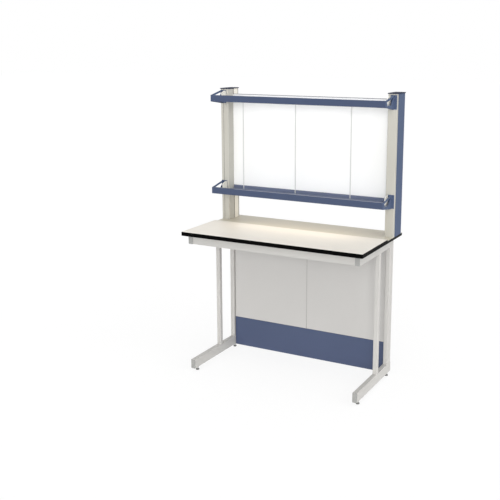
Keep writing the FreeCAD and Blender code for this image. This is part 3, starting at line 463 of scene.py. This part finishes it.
def makeHexagon(name, size, bottom):
    # a hexagon with both ends chamfered round, as a nut is turned from bar
    corner, top = cornerOf(size["flats"]), bottom + size["height"]
    bpy.ops.mesh.primitive_cylinder_add(vertices=6, radius=corner * mm, depth=size["height"] * mm,
                                        location=(0, 0, (bottom + top) / 2 * mm))
    hexagon = bpy.context.object
    hexagon.name = name
    bpy.ops.object.transform_apply(location=True, rotation=True, scale=True)
    face = size["flats"] / 2 * chamferTool["face"]
    outside, over, chamfer = corner + chamferTool["past"], chamferTool["over"], size["chamfer"]
    barrel = turnOnLathe("chamfer", [(face, bottom - over), (outside, bottom + chamfer),
                                     (outside, top - chamfer), (face, top + over)])
    cutWith(hexagon, barrel, "INTERSECT")
    return hexagon


nut = makeHexagon("tieRodNut", tieRodNut, bottom=0)
# the bore's tool is longer than the nut, so that it cuts right through
bpy.ops.mesh.primitive_cylinder_add(vertices=48, radius=tieRodNut["bore"] / 2 * mm,
                                    depth=tieRodNut["height"] * 4 * mm)
cutWith(nut, bpy.context.object)
low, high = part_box("tie_rod_nuts")
rodSpots = [sum(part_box(f"{place}_tie_rod"), Vector()) / 2 for place in ("left", "centre", "right")]
spots = [(rod.x, rod.y, height) for rod in rodSpots for height in (low.z, high.z - tieRodNut["height"] * mm)]
tieRodNuts = placeCopies(nut, "tieRodNuts", spots)
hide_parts("tie_rod_nuts")
finishPiece(tieRodNuts, "zinc_steel", "root")
print("nuts placed")


# a folded U pressed over the sheet
edgeTrim = {"height": 3.6, "wall": 0.9, "gap": 0.1, "bite": 2.4, "side": 0.5, "round": 0.7}

low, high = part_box("back_panel")
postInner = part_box("right_post_front")[0].x
outer = edgeTrim["wall"] + edgeTrim["gap"]
trimSize = ((postInner - edgeTrim["side"] * mm) * 2, high.y - low.y + outer * 2 * mm, edgeTrim["height"] * mm)
bpy.ops.mesh.primitive_cube_add(size=1, scale=trimSize, location=(
    0, (low.y + high.y) / 2, high.z + outer * mm - trimSize[2] / 2))
edgeStrip = bpy.context.object
edgeStrip.name = "backPanelTrim"
bpy.ops.object.transform_apply(location=True, rotation=True, scale=True)
bpy.ops.object.mode_set(mode="EDIT")
bpy.ops.mesh.select_mode(type="EDGE")
pickEdges(lambda one, two: min(one.z, two.z) > high.z and abs(one.x - two.x) > trimSize[0] / 2)
bpy.ops.mesh.bevel(offset=edgeTrim["round"] * mm, segments=3, affect="EDGES")
bpy.ops.mesh.select_mode(type="FACE")
pickFaces(lambda normal: normal.z < -0.9)
bpy.ops.mesh.inset(thickness=edgeTrim["wall"] * mm)
bpy.ops.mesh.extrude_region_move(TRANSFORM_OT_translate={"value": (0, 0, edgeTrim["bite"] * mm)})
bpy.ops.mesh.select_all(action="SELECT")
bpy.ops.mesh.normals_make_consistent(inside=False)
bpy.ops.object.mode_set(mode="OBJECT")
finishPiece(edgeStrip, "grey_cap_plastic", "root", look="trim")
print("edge trim made")


# radius and height of the pad's skin, from the underside up to the socket
footPad = {"sides": 64, "socket": 8.1, "socketFloor": 4, "lip": 0.8, "bevel": 0.6, "seat": 10, "skin": [
    (7.8, 0.9), (8.3, 0), (10.2, 0), (10.8, 0.5), (11, 1.4), (11, 4.6), (10.8, 5.5), (10.2, 6.5), (9.2, 7.6),
    (8.5, 8.5), (8.1, 9.4), (7.5, 10)]}
# ball: the share of the radius that its end has, and its height; the groove's walls are shares of the pitch
footSpindle = {"diameter": 8, "pitch": 1.25, "groove": 0.6, "grooveWalls": (0.4, 0.55, 0.9),
               "ball": (0.6, 1.2), "neck": 0.8, "headRoom": 1, "bevel": 0.9,
               "collar": {"flats": 13, "height": 11.7, "chamfer": 1.0}}


def makePad():
    socket, seat = footPad["socket"] / 2, footPad["seat"]
    profile = footPad["skin"] + [(socket + footPad["lip"], seat), (socket, seat - footPad["bevel"]),
                                 (socket, footPad["socketFloor"])]
    return turnOnLathe("footPad", profile, sides=footPad["sides"])


def makeSpindle(low, high):
    # a ball-ended pin below, the hexagon collar, then a thread drawn as grooves at its true pitch
    radius, collar, seat = footSpindle["diameter"] / 2, footSpindle["collar"], footPad["seat"]
    height = seat + collar["height"] + footSpindle["neck"]
    share, rise = footSpindle["ball"]
    profile = [(radius * share, low), (radius, low + rise), (radius, height)]
    pitch, root = footSpindle["pitch"], radius - footSpindle["groove"]
    wallIn, wallOut, crest = footSpindle["grooveWalls"]
    while height + pitch < high - footSpindle["headRoom"]:
        profile += [(root, height + pitch * wallIn), (root, height + pitch * wallOut),
                    (radius, height + pitch * crest), (radius, height + pitch)]
        height += pitch
    profile.append((radius - footSpindle["bevel"], high))
    pin = turnOnLathe("footSpindle", profile, sides=32)
    hexagon = makeHexagon("footCollar", collar, seat)
    cutWith(pin, hexagon, "UNION")
    return pin


for footName in ("front_left", "rear_left", "front_right", "rear_right"):
    low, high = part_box(f"{footName}_spindle")
    spot = ((low.x + high.x) / 2, (low.y + high.y) / 2, 0)
    pad = placeCopies(makePad(), f"footPad_{footName}", [spot])
    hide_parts(f"{footName}_pad")
    finishPiece(pad, "dark_plastic", f"{footName}_foot")
    spindle = placeCopies(makeSpindle(low.z / mm, high.z / mm), f"footSpindle_{footName}", [spot])
    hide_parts(f"{footName}_spindle")
    finishPiece(spindle, "zinc_steel", f"{footName}_foot", smooth=25)
print("levelling feet placed")


# small fillet welds, painted over; the bead starts at a share of its radius and grows over two ripples
weld = {"radius": 1.8, "ripple": 0.25, "step": 1.6, "inset": 2.5, "tip": 0.35, "start": 0.6, "sides": 10}


def makeBead(length):
    # a rippled bead along Z, in millimetres, its ends drawn in
    radius, ripple, start = weld["radius"], weld["ripple"], weld["start"]
    count = max(4, round(length / weld["step"]))
    profile = [(radius * weld["tip"], 0)]
    for step in range(1, count):
        bulge = ripple if step % 2 else -ripple
        grown = min(1, start + (1 - start) * min(step, count - step) / 2)
        profile.append((radius * grown + bulge, length * step / count))
    profile.append((radius * weld["tip"], length))
    return turnOnLathe("weldBead", profile, sides=weld["sides"])


def layBead(start, end):
    # from one corner of a seam to the other, stopping short of the tube's rounded corners
    start, end = Vector(start), Vector(end)
    along = end - start
    length = along.length / mm - 2 * weld["inset"]
    bead = makeBead(length)
    bead.rotation_mode = "QUATERNION"
    bead.rotation_quaternion = along.to_track_quat("Z", "Y")
    bead.location = start + along.normalized() * weld["inset"] * mm
    onlySelect(bead)
    bpy.ops.object.transform_apply(location=True, rotation=True, scale=True)
    return bead


def flatSeam(box, height, sides):
    # seams round an upright tube where it stands on, or meets, a level face
    low, high = box
    runs = {
        "front": ((low.x, low.y, height), (high.x, low.y, height)),
        "back": ((low.x, high.y, height), (high.x, high.y, height)),
        "left": ((low.x, low.y, height), (low.x, high.y, height)),
        "right": ((high.x, low.y, height), (high.x, high.y, height)),
    }
    return [runs[side] for side in sides]


def endSeam(box, x, sides):
    # seams round a rail where its end meets the side of a column or arm
    low, high = box
    runs = {
        "front": ((x, low.y, low.z), (x, low.y, high.z)),
        "back": ((x, high.y, low.z), (x, high.y, high.z)),
        "bottom": ((x, low.y, low.z), (x, high.y, low.z)),
        "top": ((x, low.y, high.z), (x, high.y, high.z)),
    }
    return [runs[side] for side in sides]


for side, sign in sideSigns.items():
    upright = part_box(f"{side}_front_upright")
    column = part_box(f"{side}_rear_column")
    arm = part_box(f"{side}_top_arm")
    seams = flatSeam(upright, upright[0].z, ("front", "back", "left", "right"))
    seams += flatSeam(upright, upright[1].z, ("front", "back", "left", "right"))
    seams += flatSeam(column, column[0].z, ("front", "left", "right"))
    armEnd = column[0].y
    seams.append(((arm[0].x, armEnd, arm[0].z), (arm[1].x, armEnd, arm[0].z)))
    for rail, sides in (("apron_rail", ("front", "back", "bottom")), ("rear_top_rail", ("back", "bottom")),
                        ("rear_lower_rail", ("back", "bottom", "top"))):
        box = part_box(rail)
        end = box[0].x if sign < 0 else box[1].x
        seams += endSeam(box, end, sides)
    beads = [layBead(start, end) for start, end in seams]
    onlySelect(*beads)
    bpy.ops.object.join()
    welds = bpy.context.object
    welds.name = f"frameWelds_{side}"
    finishPiece(welds, "grey_frame_paint", "root", smooth=60)
print("welds laid")


# the paper glows where it is looked at, by this share, and the rest of it takes the bench's shadow; size is
# in metres, and it lies just under the feet
floorPaper = {"colour": "#f6f6f6", "glow": 1.05, "share": 0.8, "size": 80, "drop": 0.3}
studioAir = {"light": 0.52, "seen": 1.0}  # what the air lights the bench with, and how white it looks
# a low key from the front reaches under the worktop, a higher one from the right lights the outer sides
# more than the inner ones, and a weak one from above lights the tops; the keys are left out of gloss, or
# the laminate would glare when it's seen from behind
sunLights = {
    "frontKey": {"power": 1.78, "spread": 34, "towards": (0.3, -0.95, 0.1), "inGloss": False},
    "sideKey": {"power": 0.97, "spread": 50, "towards": (0.88, -0.2, 0.42), "inGloss": False},
    "topFill": {"power": 0.67, "spread": 60, "towards": (0.1, -0.35, 0.93), "inGloss": True},
}
# faint lamps at the shelves, where a soft box in front of the bench would still reach; tilt is from
# straight down towards the back
shelfLamps = {
    "worktop": {"power": 0.76, "rail": "lower", "lift": -5, "from": 75, "size": (860, 140), "tilt": 0,
                "colour": "#fff0d8"},
    "panelHead": {"power": 0.46, "rail": "upper", "lift": -5, "from": 50, "size": (1100, 60), "tilt": 50,
                  "colour": "#ffffff"},
    "panelFoot": {"power": 0.18, "rail": "lower", "lift": 58, "from": 36, "size": (1100, 24), "tilt": 75,
                  "colour": "#ffffff"},
    "panelCrown": {"power": 0.28, "rail": "upper", "lift": 58, "from": 36, "size": (1100, 24), "tilt": 75,
                   "colour": "#ffffff"},
}
view = {"place": (2.23267, -4.44888, 2.06748), "heading": 27.844, "dip": 11.788, "lens": 59.489,
        "shift": (-0.05, -0.07), "sensor": 36, "reach": 200}


def seenStraight(tree):
    # one where the camera, a gloss or a window looks, nought for the light that falls on the bench
    rays = addNode(tree, "ShaderNodeLightPath").outputs
    looks = addNode(tree, "ShaderNodeMath", {0: rays["Is Camera Ray"], 1: rays["Is Glossy Ray"]},
                    operation="MAXIMUM")
    return addNode(tree, "ShaderNodeMath", {0: looks.outputs[0], 1: rays["Is Transmission Ray"]},
                   operation="MAXIMUM").outputs[0]


bpy.ops.mesh.primitive_plane_add(size=floorPaper["size"], location=(0, 0, -floorPaper["drop"] * mm))
floor = bpy.context.object
floor.name = "studioFloor"
bpy.ops.object.transform_apply(location=True, rotation=True, scale=True)
floorMaterial = bpy.data.materials.new("whitePaperSweep")  # matt paper: shows only the soft shadow
floorMaterial.use_nodes = True
tree = floorMaterial.node_tree
tree.nodes.clear()
paper = addNode(tree, "ShaderNodeBsdfDiffuse", {"Color": toLinear(floorPaper["colour"])})
glow = addNode(tree, "ShaderNodeEmission", {"Color": toLinear("#ffffff"), "Strength": floorPaper["glow"]})
amount = addNode(tree, "ShaderNodeMath", {0: seenStraight(tree), 1: floorPaper["share"]},
                 operation="MULTIPLY")
both = addNode(tree, "ShaderNodeMixShader", {0: amount.outputs[0], 1: paper.outputs[0], 2: glow.outputs[0]})
addNode(tree, "ShaderNodeOutputMaterial", {"Surface": both.outputs[0]})
floor.data.materials.append(floorMaterial)

world = bpy.data.worlds.new("studioWorld")
bpy.context.scene.world = world
world.use_nodes = True
tree = world.node_tree
tree.nodes.clear()
soft = addNode(tree, "ShaderNodeBackground", {"Color": toLinear("#ffffff"), "Strength": studioAir["light"]})
white = addNode(tree, "ShaderNodeBackground", {"Color": toLinear("#ffffff"), "Strength": studioAir["seen"]})
both = addNode(tree, "ShaderNodeMixShader", {0: seenStraight(tree), 1: soft.outputs[0], 2: white.outputs[0]})
addNode(tree, "ShaderNodeOutputWorld", {"Surface": both.outputs[0]})

for lampName, look in sunLights.items():
    sun = bpy.data.lights.new(lampName, "SUN")
    sun.energy = look["power"]
    sun.angle = math.radians(look["spread"])
    sunObject = bpy.data.objects.new(lampName, sun)
    bpy.context.scene.collection.objects.link(sunObject)
    sunObject.rotation_euler = Vector(look["towards"]).to_track_quat("Z", "Y").to_euler()
    sunObject.visible_glossy = look["inGloss"]

for lampName, look in shelfLamps.items():
    lamp = bpy.data.lights.new(lampName, "AREA")
    lamp.shape = "RECTANGLE"
    lamp.size, lamp.size_y = (side * mm for side in look["size"])
    lamp.energy = look["power"]
    lamp.color = toLinear(look["colour"])[:3]
    lampObject = bpy.data.objects.new(lampName, lamp)
    bpy.context.scene.collection.objects.link(lampObject)
    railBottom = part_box(f"{look['rail']}_shelf_front_rail")[0].z
    lampObject.location = (0, look["from"] * mm, railBottom + look["lift"] * mm)
    lampObject.rotation_euler = (math.radians(look["tilt"]), 0, 0)
    lampObject.visible_camera = False
    lampObject.visible_glossy = False

camera = bpy.data.cameras.new("camera")
camera.lens, camera.sensor_width, camera.clip_end = view["lens"], view["sensor"], view["reach"]
camera.shift_x, camera.shift_y = view["shift"]
cameraObject = bpy.data.objects.new("camera", camera)
bpy.context.scene.collection.objects.link(cameraObject)
cameraObject.location = view["place"]
cameraObject.rotation_euler = (math.radians(90 - view["dip"]), 0, math.radians(view["heading"]))
bpy.context.scene.camera = cameraObject
bpy.context.scene.view_settings.view_transform = "Standard"
print("light and camera set")
